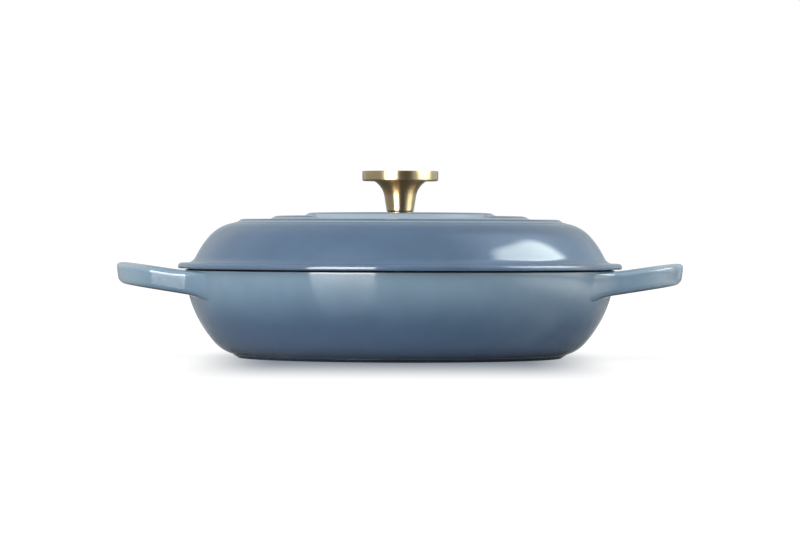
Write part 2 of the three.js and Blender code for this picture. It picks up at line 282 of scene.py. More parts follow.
class Wiring:
    """Nodes of a material or of the surroundings."""

    def __init__(self, tree: bpy.types.NodeTree) -> None:
        """Takes the tree that the nodes go into."""
        self.tree = tree

    def feed(self, socket: Socket, value: Any) -> None:
        """Gives an input what it works with.

        Args:
            socket: The input.
            value: The output of another node, or a constant.
        """
        if isinstance(value, Socket):
            self.tree.links.new(value, socket)
        else:
            socket.default_value = value

    def node(self, kind: str, inputs: dict[Any, Any] | None = None, **settings: Any) -> bpy.types.Node:
        """Adds a node.

        Args:
            kind: Type of the node, without its common prefix.
            inputs: Constants or outputs for its inputs, by name or number.
            settings: Its other properties.

        Returns:
            The node.
        """
        made = self.tree.nodes.new("ShaderNode" + kind)
        for key, value in settings.items():
            setattr(made, key, value)
        for key, value in (inputs or {}).items():
            self.feed(made.inputs[key], value)
        return made

    def math(self, operation: str, first: Any, second: Any) -> Socket:
        """One sum of two values."""
        return self.node("Math", {0: first, 1: second}, operation=operation).outputs[0]

    def length(self, vector: Socket) -> Socket:
        """Length of a vector."""
        return self.node("VectorMath", {0: vector}, operation="LENGTH").outputs["Value"]

    def ranged(self, source: Socket, low: float, high: float, start: float, end: float,
               course: str = "LINEAR") -> Socket:
        """Maps a value's span from low to high onto start to end, held at both ends."""
        return self.node("MapRange", {"Value": source, "From Min": low, "From Max": high, "To Min": start,
                                      "To Max": end}, interpolation_type=course).outputs["Result"]

    def eased(self, source: Socket, near: float, far: float) -> Socket:
        """Eased share of a value: 1 up to near, 0 from far on."""
        return self.ranged(source, near, far, 1.0, 0.0, "SMOOTHSTEP")

    def swing(self, noise: Socket, low: float, high: float) -> Socket:
        """Spreads what a noise mostly gives from low to high."""
        return self.ranged(noise, *NOISE_SPAN, low, high)

    def seen(self, *kinds: str) -> Socket:
        """Tells rays apart.

        Args:
            kinds: Kinds of rays, as the Light Path node names them.

        Returns:
            1 for rays of any of the kinds, 0 for the others.
        """
        path = self.node("LightPath")
        total = path.outputs[kinds[0]]
        for kind in kinds[1:]:
            total = self.math("MAXIMUM", total, path.outputs[kind])
        return total


class Recipe(Wiring):
    """A material under construction, with one principled shader."""

    def __init__(self, name: str) -> None:
        """Starts an empty material.

        Args:
            name: Name of the material.
        """
        self.material = bpy.data.materials.new(name)
        self.material.use_nodes = True
        super().__init__(self.material.node_tree)
        self.tree.nodes.clear()
        self.surface = self.node("OutputMaterial").inputs["Surface"]
        self.shader = self.node("BsdfPrincipled")
        self.feed(self.surface, self.shader.outputs["BSDF"])
        self.place = self.node("TexCoord").outputs["Object"]

    def set(self, **values: Any) -> None:
        """Sets the shader's own sockets, with spaces in their names written as underscores."""
        for key, value in values.items():
            self.feed(self.shader.inputs[key.replace("_", " ")], value)

    def noise(self, waves: float, detail: float = 2.0, place: Socket | None = None) -> Socket:
        """Noise in waves per metre, on the object's own coordinates unless a place is given."""
        return self.node("TexNoise", {"Vector": self.place if place is None else place, "Scale": waves,
                                      "Detail": detail}).outputs["Fac"]

    def ramp(self, height: Socket, stops: Stops, course: str = "EASE") -> Socket:
        """Runs a colour from stop to stop.

        Args:
            height: Height in metres.
            stops: Heights in millimetres with the colour at each.
            course: How the colour runs between stops, as the node names it.

        Returns:
            The colour at the height.
        """
        low, high = stops[0][0], stops[-1][0]
        made = self.node("ValToRGB", {"Fac": self.ranged(height, low * MM, high * MM, 0.0, 1.0)})
        made.color_ramp.interpolation = course
        while len(made.color_ramp.elements) < len(stops):
            made.color_ramp.elements.new(0.5)
        for element, (at, colour) in zip(made.color_ramp.elements, stops):
            element.position = (at - low) / (high - low)
            element.color = (*colour, 1.0)
        return made.outputs["Color"]

    def mix(self, share: Any, first: Any, second: Any, blend: str = "MIX") -> Socket:
        """Mixes two colours.

        Args:
            share: Share of the second one.
            first: A colour or an output.
            second: A colour or an output.
            blend: Kind of mix, as the node names it.

        Returns:
            The mixed colour.
        """
        made = self.node("Mix", {0: share}, data_type="RGBA", blend_type=blend)
        for number, value in ((6, first), (7, second)):
            self.feed(made.inputs[number], value if isinstance(value, Socket) else (*value, 1.0))
        return made.outputs[2]

    def toned(self, colour: Any, factor: Socket) -> Socket:
        """A colour times one factor."""
        grey = self.node("CombineXYZ", {0: factor, 1: factor, 2: factor}).outputs[0]
        return self.mix(1.0, colour, grey, "MULTIPLY")

    def bump(self, height: Socket, distance: float, strength: float, under: Socket | None = None) -> Socket:
        """Makes relief from a height.

        Args:
            height: The height, 0 to 1.
            distance: What a height of 1 stands for, in metres.
            strength: Strength of the relief.
            under: Relief that it lies on, if any.

        Returns:
            The normal of the relief.
        """
        made = self.node("Bump", {"Height": height, "Distance": distance, "Strength": strength})
        if under is not None:
            self.feed(made.inputs["Normal"], under)
        return made.outputs["Normal"]


@dataclass(frozen=True)
class VitreousEnamel:
    """Glossy enamel whose colour may change with height.

    Attributes:
        name: Name of the material.
        stops: Heights in millimetres with the colour at each.
        pale_and_sheen: Paler colour mixed in by the point value of that name: painted sheen on the handles' tips,
            a paler tone on the lid's rings.
        painted_shade: Colour of the painted shade mixed in by the point value of that name, under the handles.
        gloss: Roughness of the glaze.
        haze: Roughness of the body below the glaze, which spreads a soft glow round the highlights.
        smear: Waves per metre of the haze's unevenness, and its least and greatest change.
        drift: Waves per metre of the colours' wander in height, and its size in millimetres.
        cloud: Waves per metre of the mottling, and its share of the colour.
        swell: Waves per metre of the glaze's slow unevenness, its height in millimetres and its strength.
        peel: The same of its fine unevenness.
    """

    name: str
    stops: Stops
    pale_and_sheen: Colour
    painted_shade: Colour = (0.06, 0.085, 0.12)
    gloss: float = 0.07
    haze: float = 0.4
    smear: tuple[float, float, float] = (140.0, -0.03, 0.04)
    drift: Span = (18.0, 1.5)
    cloud: Span = (55.0, 0.05)
    swell: tuple[float, float, float] = (26.0, 0.025, 0.5)
    peel: tuple[float, float, float] = (420.0, 0.006, 0.6)

    def material(self) -> Material:
        """Makes the material: a ramp on height, faint mottling, a paler tone, painted sheen and painted shade from
        point values, and a slightly uneven glaze.

        Returns:
            The material.
        """
        recipe = Recipe(self.name)
        height = recipe.node("SeparateXYZ", {0: recipe.place}).outputs["Z"]
        wander = recipe.swing(recipe.noise(self.drift[0]), -self.drift[1] * MM, self.drift[1] * MM)
        colour = recipe.ramp(recipe.math("ADD", height, wander), self.stops, "B_SPLINE")
        mottle = recipe.swing(recipe.noise(self.cloud[0], 4.0), 1 - self.cloud[1], 1 + self.cloud[1])
        colour = recipe.toned(colour, mottle)
        # Point values mix in a paler colour (a painted sheen on the handles' tips, a paler tone on the lid's
        # rings) and a darker one (painted shade under the handles).
        for name, tint in (("pale_and_sheen", self.pale_and_sheen), ("painted_shade", self.painted_shade)):
            share = recipe.node("Attribute", attribute_name=name).outputs["Fac"]
            colour = recipe.mix(share, colour, tint)
        dull = recipe.swing(recipe.noise(self.smear[0], 3.0), self.haze + self.smear[1], self.haze + self.smear[2])
        slow = recipe.bump(recipe.noise(self.swell[0], 1.0), self.swell[1] * MM, self.swell[2])
        fine = recipe.bump(recipe.noise(self.peel[0]), self.peel[1] * MM, self.peel[2], slow)
        recipe.set(Base_Color=colour, Roughness=dull, Normal=fine, IOR=1.4, Specular_IOR_Level=0.1,
                   Coat_Weight=1.0, Coat_Roughness=self.gloss, Coat_IOR=1.5, Coat_Normal=slow)
        return recipe.material


@dataclass(frozen=True)
class MatteCoat:
    """Dull dark coat of the rim and of the seats, with a fine grain.

    Attributes:
        name: Name of the material.
        colour: Its colour.
        roughness: Its dullness.
        grain: Waves of the grain per metre.
        relief: Height of the grain in millimetres.
    """

    name: str
    colour: Colour
    roughness: float = 0.55
    grain: float = 900.0
    relief: float = 0.06

    def material(self) -> Material:
        """Makes the material: grain in colour, dullness and relief.

        Returns:
            The material.
        """
        recipe = Recipe(self.name)
        grain = recipe.noise(self.grain, 3.0)
        colour = recipe.toned(self.colour, recipe.ranged(grain, 0.3, 0.75, 0.75, 1.35))
        dull = recipe.swing(grain, self.roughness - 0.08, self.roughness + 0.1)
        recipe.set(Base_Color=colour, Roughness=dull, Normal=recipe.bump(grain, self.relief * MM, 0.5))
        return recipe.material


@dataclass(frozen=True)
class TurnedMetal:
    """Metal turned on a lathe, with a satin that runs round the axis.

    Attributes:
        name: Name of the material.
        stops: Heights in millimetres with the colour at each.
        roughness: Dullness of the satin.
        anisotropy: How far reflections are drawn out across the turning.
        marks: Waves per metre of the turning marks.
        wear: Waves per metre of the wear.
    """

    name: str
    stops: Stops
    roughness: float
    anisotropy: float
    marks: float = 5200.0
    wear: float = 90.0

    def material(self) -> Material:
        """Makes the material: fine rings in colour and dullness, reflections drawn out across them.

        The rings are a noise on the distance from the axis and the height.

        Returns:
            The material.
        """
        recipe = Recipe(self.name)
        parts = recipe.node("SeparateXYZ", {0: recipe.place})
        flat = recipe.node("CombineXYZ", {0: parts.outputs["X"], 1: parts.outputs["Y"]}).outputs[0]
        rings = recipe.node("CombineXYZ", {0: recipe.length(flat), 1: parts.outputs["Z"]}).outputs[0]
        lathe = recipe.noise(self.marks, place=rings)
        wear = recipe.swing(recipe.noise(self.wear, 4.0), self.roughness - 0.02, self.roughness + 0.03)
        dull = recipe.math("ADD", recipe.swing(lathe, -0.02, 0.03), wear)
        along = recipe.node("Tangent", direction_type="UV_MAP", uv_map="turn").outputs["Tangent"]
        colour = recipe.toned(recipe.ramp(parts.outputs["Z"], self.stops), recipe.swing(lathe, 0.93, 1.07))
        recipe.set(Base_Color=colour, Metallic=1.0, Roughness=dull, Anisotropic=self.anisotropy,
                   Anisotropic_Rotation=0.25, Tangent=along)
        return recipe.material


@dataclass
class Finishes:
    """The materials that the pieces share."""

    bowl: Material
    lid: Material
    sand: Material
    base: Material
    rim: Material
    gold: Material
    steel: Material

    @classmethod
    def make(cls) -> "Finishes":
        """Makes every finish once.

        Returns:
            The finishes.
        """
        # The bowl's pale colour shows only towards the handles' tips, as a painted sheen.
        pale = srgb(157, 179, 195)
        return cls(
            # The bowl's ramp, pale at the rim and dark at the foot with a darker band low on the wall, is partly
            # the graduated glaze and partly painted shade.
            bowl=VitreousEnamel("blue_enamel_bowl", (
                (0.0, srgb(72, 91, 115)), (9.0, srgb(94, 119, 150)), (24.0, srgb(76, 106, 138)),
                (40.0, srgb(124, 153, 177)), (55.0, srgb(143, 171, 191))), pale).material(),
            # The lid's enamel is set darker than the bowl's: painted shade that offsets the fuller light on its
            # upward faces.
            lid=VitreousEnamel("blue_enamel_lid", (
                (55.0, srgb(97, 122, 149)), (70.0, srgb(82, 110, 140)), (92.0, srgb(82, 107, 134))),
                srgb(190, 206, 216)).material(),
            sand=VitreousEnamel("sand_enamel", (
                (0.0, srgb(214, 201, 174)), (90.0, srgb(219, 207, 182))), srgb(228, 219, 198)).material(),
            base=VitreousEnamel("ground_enamel", (
                (0.0, srgb(62, 74, 92)), (10.0, srgb(64, 76, 94))), srgb(60, 68, 78), gloss=0.2).material(),
            rim=MatteCoat("black_rim", srgb(30, 33, 36)).material(),
            # The gold deepens to brown on the upper flare and the head's lower edge: painted shade under the head.
            gold=TurnedMetal("gold_knob", (
                (91.0, srgb(201, 183, 148)), (99.0, srgb(201, 177, 134)), (108.0, srgb(198, 158, 105)),
                (110.6, srgb(198, 158, 105)), (111.2, srgb(201, 180, 140))), 0.32, 0.92).material(),
            steel=TurnedMetal("steel_fastener", (
                (70.0, srgb(172, 174, 177)), (100.0, srgb(178, 180, 182))), 0.28, 0.4).material(),
        )


@dataclass
class Bowl:
    """Cast bowl: outside and inside turn about the same two arcs, with a flat rim and a low foot.

    Sizes are in millimetres; the rim's lean is in degrees.
    """

    rim_radius: float = 134.4
    rim_height: float = 55.0
    rim_edge: float = 0.8
    rim_lean: float = 2.6
    wall: float = 3.6
    floor: float = 5.0
    side_radius: float = 73.5
    heel_radius: float = 24.3
    foot_height: float = 2.7
    foot_step: float = 1.4
    foot_taper: float = 2.8
    foot_width: float = 14.0
    foot_edge: float = 0.5
    foot_slack: float = 0.05
    foot_recess: float = 0.8
    recess_run: float = 2.0
    recess_edge: float = 0.6
    sides: int = 384

    def __post_init__(self) -> None:
        """Works out the centres of the two arcs, which meet on one tangent."""
        lean = math.radians(self.rim_lean)
        self.side_centre = (self.rim_radius - self.side_radius * math.cos(lean),
                            self.rim_height + self.side_radius * math.sin(lean))
        level = self.floor + self.heel_radius - self.wall
        span = self.side_radius - self.heel_radius
        turn = math.asin((self.side_centre[1] - level) / span)
        self.turn = math.degrees(turn)
        self.heel_centre = (self.side_centre[0] + span * math.cos(turn), level)

    def wall_radius(self, height: Array) -> Array:
        """Outer radius of the wall at a height on its upper arc."""
        return self.side_centre[0] + np.sqrt(self.side_radius**2 - (height - self.side_centre[1]) ** 2)

    def profile(self) -> tuple[Array, Array]:
        """Closed section from the middle of the underside round to the middle of the floor.

        Returns:
            Points, and the zone of the strip after each: 0 outside, 1 rim, 2 inside, 3 underside.
        """
        heel, side, edge = self.heel_centre, self.side_centre, self.rim_edge
        foot_turn = math.degrees(math.asin((heel[1] - self.foot_height) / self.heel_radius))
        heel_foot = heel[0] + self.heel_radius * math.cos(math.radians(foot_turn))
        top = heel_foot - self.foot_step
        bottom = top - self.foot_taper
        ring = bottom - self.foot_width
        inner = self.side_radius - self.wall
        outer_turn = math.degrees(math.asin((side[1] - self.rim_height + edge) / self.side_radius))
        inner_turn = math.degrees(math.asin((side[1] - self.rim_height + edge) / inner))
        outer_rim = side[0] + self.side_radius * math.cos(math.radians(outer_turn))
        inner_rim = side[0] + inner * math.cos(math.radians(inner_turn))
        recess, foot, slack = self.foot_recess, self.foot_edge, self.foot_slack
        root = self.foot_height - 1.5 * foot
        runs = [
            line((0, recess), (ring - self.recess_run, recess), 10),
            arc((ring - self.recess_run, recess - self.recess_edge), self.recess_edge, 90, 40, 4),
            line((ring, 0), (bottom - foot, 0), 4),
            arc((bottom - foot, foot), foot, -90, -26, 5),
            line((bottom + 2 * slack, foot), (top - slack, root - slack), 4),
            arc((top - slack + foot, root), foot, 180, 110, 5),
            arc(heel, self.heel_radius, -foot_turn, -self.turn, 22),
            arc(side, self.side_radius, -self.turn, -outer_turn, 46),
            arc((outer_rim - edge, self.rim_height - edge), edge, 0, 90, 6),
            line((outer_rim - edge, self.rim_height), (inner_rim + edge, self.rim_height), 4),
            arc((inner_rim + edge, self.rim_height - edge), edge, 90, 180, 6),
            arc(side, inner, -inner_turn, -self.turn, 30),
            arc(heel, self.heel_radius - self.wall, -self.turn, -90, 18),
            line((heel[0], self.floor), (0, self.floor), 12),
        ]
        points, owner = chain(*runs)
        underside_end, outside_end, rim_end = 5, 8, 11  # numbers of the runs
        return points, np.select([owner < underside_end, owner < outside_end, owner < rim_end], [3, 0, 1], 2)

    def build(self, finishes: Finishes) -> None:
        """Builds and dresses the bowl.

        Args:
            finishes: Materials of the pieces.
        """
        points, zones = self.profile()
        sheet = Sheet(revolve(points, even_turn(self.sides)), zones=zones[:-1])
        piece(sheet, "bowl", Body.POT, Slot.ENAMEL,
              [finishes.bowl, finishes.rim, finishes.sand, finishes.base], ["pot_body"])


@dataclass
class LoopHandle:
    """Cast loop handle: a rounded bar carried round a full curve, sloped up, that flares into the wall.

    Sizes are in millimetres and the splay is in degrees; rise, draft, fullness, tip_round, seat, round_from and
    painted_pool are shares; painted_pool is where the underside's painted shade sets in. The fillets are given at
    the bar's lower and upper face.
    """

    bowl: Bowl
    reach: float = 42.0
    width: float = 100.0
    bar: float = 15.4
    thickness: float = 12.8
    drop: float = 8.2
    rise: float = 0.153
    top_edge: float = 2.6
    bottom_edge: float = 3.4
    draft: float = 0.13
    splay: float = 8.0
    arm_fullness: float = 0.85
    end_fullness: float = 0.64
    root: float = 140.0
    outer_fillet: Span = (30.0, 26.0)
    inner_fillet: Span = (8.0, 8.0)
    tip_round: float = 0.09
    root_lift: float = 2.6
    lift_run: float = 20.0
    root_drop: float = 2.0
    drop_start: float = 3.0
    drop_run: float = 6.0
    sunk: float = 0.012
    seat: float = 0.9
    round_from: float = 0.4
    # Distances from the axis over which the handle pales towards its tip: a painted sheen.
    pale_tip: Span = (148.0, 172.0)
    painted_pool: Span = (0.55, 0.95)
    rows: int = 90
    flare_rows: int = 24

    def centre_line(self, share: Array) -> tuple[Array, Array, Array, Array]:
        """Middle of the bar seen from above: one cubic curve from the bowl to the tip, straight before it.

        Args:
            share: Place on the curve, 0 at the root and 1 at the tip; below 0 lies on the straight part.

        Returns:
            x, y and the unit tangent's x and y.
        """
        half = (self.width - self.bar) / 2
        tip = self.bowl.rim_radius + self.reach - self.bar / 2
        arm = self.arm_fullness * (tip - self.root)
        arm_x, arm_y = arm * math.cos(math.radians(self.splay)), -arm * math.sin(math.radians(self.splay))
        end = self.end_fullness * half
        t = np.clip(share, 0.0, 1.0)
        s = 1.0 - t
        x = s**3 * self.root + 3 * s * s * t * (self.root + arm_x) + 3 * s * t * t * tip + t**3 * tip
        y = s**3 * half + 3 * s * s * t * (half + arm_y) + 3 * s * t * t * end
        dx = 3 * (s * s * arm_x + 2 * s * t * (tip - self.root - arm_x))
        dy = 3 * (s * s * arm_y + 2 * s * t * (end - half - arm_y) - t * t * end)
        size = np.hypot(dx, dy)
        before = 3 * np.minimum(share, 0.0)
        return x + before * arm_x, y + before * arm_y, dx / size, dy / size

    def level(self, x: Array) -> Array:
        """Height of the bar's middle at x: an even slope up to the tip."""
        return self.bowl.rim_height - self.drop + self.rise * (x - self.bowl.rim_radius)

    def growth(self, radius: Array, up: Array, share: Array | float) -> Array:
        """How far a point of the section moves up or down near the wall.

        The upper outer edge rises to the rim and the lower half drops, each over its own run and with the square
        of the share of the way.

        Args:
            radius: Distance from the pot's axis.
            up: Height above the bar's middle.
            share: Place across the bar, -1 inside to 1 outside.

        Returns:
            The change in height.
        """
        part = up / (self.thickness / 2)
        near = np.clip((self.bowl.rim_radius + self.lift_run - radius) / self.lift_run, 0.0, 1.0)
        close = np.clip((self.bowl.rim_radius + self.drop_start - radius) / self.drop_run, 0.0, 1.0)
        return (self.root_lift * near**2 * smoothstep(part, 0.0, 1.0) * smoothstep(np.asarray(share), -1.0, 1.0)
                - self.root_drop * close**2 * smoothstep(-part, 0.0, 1.0))

    def half_width(self, up: Array) -> Array:
        """Half the bar's width at a height above its middle: the sides lean out by their draft."""
        return self.bar / 2 + self.draft * up

    def section(self) -> tuple[Array, Array]:
        """Rounded section of the bar: four arcs, with points also spread evenly over the whole outline.

        Returns:
            Shares of the half width, -1 inside to 1 outside, and heights above the bar's middle.
        """
        wide, high = self.bar / 2, self.thickness / 2
        corners = rounded(wide, high, (self.top_edge, self.top_edge, self.bottom_edge, self.bottom_edge), 9)
        outline = np.vstack([corners, corners[:1]])
        steps = np.r_[0.0, np.cumsum(np.hypot(*np.diff(outline, axis=0).T))]
        at = np.unique(np.round(np.r_[steps[:-1], np.linspace(0, steps[-1], 33)[:-1]], 3))
        return np.interp(at, steps, outline[:, 0]) / wide, np.interp(at, steps, outline[:, 1])

    def beside(self, place: Array, offset: Array) -> tuple[Array, Array]:
        """Points beside the centre line, seen from above: the line's point plus its normal times the offset.

        Args:
            place: Places on the centre line.
            offset: Distances outwards from it.

        Returns:
            The points, and the outward direction at each.
        """
        x, y, tangent_x, tangent_y = self.centre_line(place)
        out = np.stack([-tangent_y, tangent_x], axis=-1)
        return np.stack([x, y], axis=-1) + out * offset[..., None], out

    def flare(self, side: int, up: Array) -> tuple[Array, Array]:
        """Fillet between one side of the bar and the wall, seen from above.

        A circle touches the side of the bar and the wall's circle at that height; its arc between the two
        touching points is the fillet. Its radius changes evenly from the bar's lower face to its upper one. Its
        place is found in steps, each along the slope of the miss.

        Args:
            side: 1 for the outer side, -1 for the side of the opening.
            up: Heights above the bar's middle.

        Returns:
            Place on the centre line where the fillet starts, and its points from there to the wall.
        """
        low, high = self.outer_fillet if side > 0 else self.inner_fillet
        radius = low + (high - low) * (up / self.thickness + 0.5)
        wall = self.reference(up)
        offset = side * (self.half_width(up) + radius)

        def miss(place: Array) -> Array:
            """How far the circle beside a place still is from touching the wall."""
            return np.linalg.norm(self.beside(place, offset)[0], axis=-1) - wall - radius

        start, nudge = np.full_like(up, 0.05), 1e-4
        for _ in range(20):
            start = start - miss(start) * nudge / (miss(start + nudge) - miss(start))
        centre, out = self.beside(start, offset)
        first = np.arctan2(-side * out[:, 1], -side * out[:, 0])
        turn = np.arctan2(-centre[:, 1], -centre[:, 0]) - first
        turn = (turn + math.pi) % (2 * math.pi) - math.pi
        angle = first + np.linspace(0, 1, self.flare_rows)[:, None] * turn
        return start, centre + radius[:, None] * np.stack([np.cos(angle), np.sin(angle)], axis=-1)

    def reference(self, up: Array) -> Array:
        """Radius of the wall's circle that the fillets of a height are drawn against."""
        return self.bowl.wall_radius(self.level(self.seat * self.bowl.rim_radius) + up)

    def half(self) -> tuple[Array, Array]:
        """One arm from the wall to the tip: the section spans the two fillets, then the two sides of the bar.

        Near the wall the points move in or out with the wall's real radius at their height, so that the flare
        runs out on the wall. Towards the tip the section narrows above and below with the fourth power of the
        height, which rounds its corners.

        Returns:
            Points, and the share of painted shade on each: full where the section faces the floor,
            fading out on the wall.
        """
        share, up = self.section()
        outer_start, outer = self.flare(1, up)
        inner_start, inner = self.flare(-1, up)
        half = self.half_width(up)
        place = inner_start + (outer_start - inner_start) * (share + 1) / 2
        run = np.linspace(0.0, 1.0, self.rows)[:, None]
        soft = 1 - self.tip_round * smoothstep(run, self.round_from, 1.0) * np.abs(2 * up / self.thickness) ** 4
        arm = self.beside(place + (1.0 - place) * run, share * half * soft)[0]
        span = np.linalg.norm(outer - inner, axis=-1) / 2
        edge = np.where(up > 0, self.top_edge, self.bottom_edge)
        kept = np.abs(share) > 1 - edge / half
        inset = np.where(kept, np.sign(share) * (1 - half * (1 - np.abs(share)) / span),
                         share * (1 - edge / span) / (1 - edge / half))
        ease = smoothstep(np.linspace(0, 1, self.flare_rows), 0.0, 0.6)[:, None]
        across = (share + (inset - share) * ease)[..., None]
        flare = (outer + inner) / 2 + across * (outer - inner) / 2
        plan = np.concatenate([flare[:0:-1], arm])
        far = np.linalg.norm(plan, axis=-1)
        height = self.level(plan[..., 0]) + up + self.growth(far, up, share)
        settle = np.zeros((len(plan), 1))
        settle[: self.flare_rows - 1, 0] = smoothstep(np.linspace(1, 0, self.flare_rows)[:-1], 0.0, 0.9)
        real = self.bowl.wall_radius(np.minimum(height, self.bowl.rim_height)) - self.sunk
        plan = plan * (1 + settle * (real - self.reference(up)) / far)[..., None]
        # Painted shade: the enamel darkens where the section's lower corner faces the floor, fading out where the
        # flare meets the wall.
        low = self.bottom_edge - (up + self.thickness / 2)
        painted_shade = smoothstep(low / self.bottom_edge, *self.painted_pool)
        return np.concatenate([plan, height[..., None]], axis=-1), painted_shade * (1 - settle**2)

    def build(self, finishes: Finishes) -> None:
        """Builds both handles: an arm and its mirror image make a loop, half a turn gives the other one.

        Args:
            finishes: Materials of the pieces.
        """
        arm, painted_shade = self.half()
        loop = np.concatenate([arm, arm[-2::-1] * (1, -1, 1)])
        # Towards the tips the enamel pales, a painted sheen; on the undersides it darkens, a painted shade.
        values = {"painted_shade": np.concatenate([painted_shade, painted_shade[-2::-1]]), "pale_and_sheen": smoothstep(loop[..., 0], *self.pale_tip)}
        for name, turn in (("right_handle", (1, 1, 1)), ("left_handle", (-1, -1, 1))):
            sheet = Sheet(loop * turn, round_rows=False, round_columns=True, flip=True, values=values)
            piece(sheet, name, Body.POT, Slot.ENAMEL, [finishes.bowl])


@dataclass
class Lid:
    """Cast lid: a flange, a dome of two arcs and three stepped rings, the middle one open at the front.

    Sizes are in millimetres, the dome's turn and the rings' slope are in degrees. The pales are how far the glaze
    pales at the first ring's foot, at the other rings' feet and on the land in the opening.
    """

    bowl: Bowl
    gap: float = 0.6
    overhang: float = 4.5
    flange: float = 3.5
    flange_edge: float = 2.2
    wall: float = 3.5
    dome_height: float = 25.3
    dome_inset: float = 4.9
    dome_side: float = 57.0
    shoulder: float = 25.7
    dome_turn: float = 41.6
    cove: float = 6.5
    crown_sag: float = 5.4
    lip_depth: float = 3.5
    lip_clearance: float = 1.5
    ring_out: float = 0.7
    ring_spacing: float = 21.3
    ring_rise: float = 2.2
    ring_slope: float = 42.0
    land_sag: float = 0.4
    opening: float = 53.0
    opening_corner: float = 6.0
    pales: tuple[float, float, float] = (0.45, 0.5, 0.65)
    bore: float = 3.3
    seat: float = 12.0
    lip_edge: float = 0.8
    lip_fillet: float = 0.6
    low_edge: float = 0.9
    ring_margin: float = 0.4
    pad_length: float = 5.8
    pad_width: float = 2.0
    pad_corner: float = 0.7
    sides: int = 440

    def __post_init__(self) -> None:
        """Works out levels, the dome's centres and the arcs of a ring's step."""
        self.flange_bottom = self.bowl.rim_height + self.gap
        self.flange_top = self.flange_bottom + self.flange
        self.flange_radius = self.bowl.rim_radius + self.overhang
        self.crown = self.flange_top + self.dome_height
        self.top = self.crown + 3 * self.ring_rise
        self.underside = self.crown - self.wall + self.crown_sag
        turn = math.radians(self.dome_turn)
        level = self.crown - self.shoulder - (self.dome_side - self.shoulder) * math.sin(turn)
        foot = math.asin((self.flange_top - level) / self.dome_side)
        self.dome_centre = (self.bowl.rim_radius - self.dome_inset - self.dome_side * math.cos(foot), level)
        self.shoulder_centre = (self.dome_centre[0] + (self.dome_side - self.shoulder) * math.cos(turn),
                                self.crown - self.shoulder)
        first = self.shoulder_centre[0] + self.ring_out
        self.rings = [first - number * self.ring_spacing for number in range(3)]
        slope = math.radians(self.ring_slope)
        self.step_arc = self.ring_rise / (2 * (1 - math.cos(slope)))
        self.step_run = self.step_arc * math.sin(slope)

    def step(self, distance: Array) -> Array:
        """Share of a ring's height at a distance outside the middle of its edge.

        Outside it is a hollow arc up to half the height; inside, the rest fades in exponentially at one slope
        with the arc.

        Args:
            distance: Distances from the middle of the edge, positive outside.

        Returns:
            Shares of the ring's height.
        """
        run, radius, half = self.step_run, self.step_arc, self.ring_rise / 2
        hollow = radius - np.sqrt(np.maximum(radius**2 - np.clip(run - distance, 0, run) ** 2, 0.0))
        slope = math.tan(math.radians(self.ring_slope))
        crest = half + half * (1 - np.exp(np.minimum(distance, 0.0) * slope / half))
        return np.where(distance > 0, hollow, crest) / self.ring_rise

    def land(self, radius: Array, angle: Array) -> tuple[Array, Array]:
        """Height and paleness of the lands within the first ring.

        The middle ring's edge is the rounded intersection of its circle and of two straight ends, which stand
        half an opening to each side of the front; the last ring rises from whatever it stands on. The lands sag
        outwards with the square of the distance.

        Args:
            radius: Distances from the axis.
            angle: Angles from the front.

        Returns:
            Heights above the first land, and how far the glaze is pale.
        """
        circle = radius - self.rings[1]
        end = np.where(np.cos(angle) > 0, self.opening - radius * np.abs(np.sin(angle)), -self.opening)
        corner = self.opening_corner
        inside = np.minimum(-corner, np.maximum(circle, end))
        edge = inside + np.hypot(np.maximum(circle + corner, 0.0), np.maximum(end + corner, 0.0))
        middle = self.step(edge)
        third = self.rings[2]
        last = self.step(radius - third)
        out = np.clip((radius - third - self.ring_spacing * (1 - middle)) / self.ring_spacing, 0.0, 1.0)
        sag = last * np.minimum(radius / third, 1.0) ** 2 + (1 - last) * out**2 * 0.7
        height = self.ring_rise * (middle + (2 - middle) * last) - self.land_sag * sag
        hollow = np.maximum(self.hollow(middle) * (1 - last), self.hollow(last) * middle)
        pocket = (1 - middle) * smoothstep(last, 0.0, 0.06) * (1 - smoothstep(last, 0.7, 0.9))
        return height, np.maximum(self.pales[1] * hollow, self.pales[2] * pocket)

    def hollow(self, share: Array) -> Array:
        """Where the colour pales at the foot of a ring: full at a fifth of its height, none at half of it."""
        return smoothstep(share, 0.0, 0.08) * (1 - smoothstep(share, 0.35, 0.55))

    def angles(self) -> Array:
        """Angles of one turn, closer together round the two ends of the middle ring by a bell curve.

        Returns:
            The angles in radians, without the repeated last one.
        """
        turn = np.linspace(-math.pi, math.pi, 4001)
        middle = math.asin(2 * self.opening / (self.rings[1] + self.rings[2]))
        closer, reach = 2.5, 0.22
        share = np.cumsum(1.0 + closer * np.exp(-(((np.abs(turn) - middle) / reach) ** 2)))
        share = (share - share[0]) / (share[-1] - share[0])
        return np.interp(np.linspace(0, 1, self.sides + 1)[:-1], share, turn)

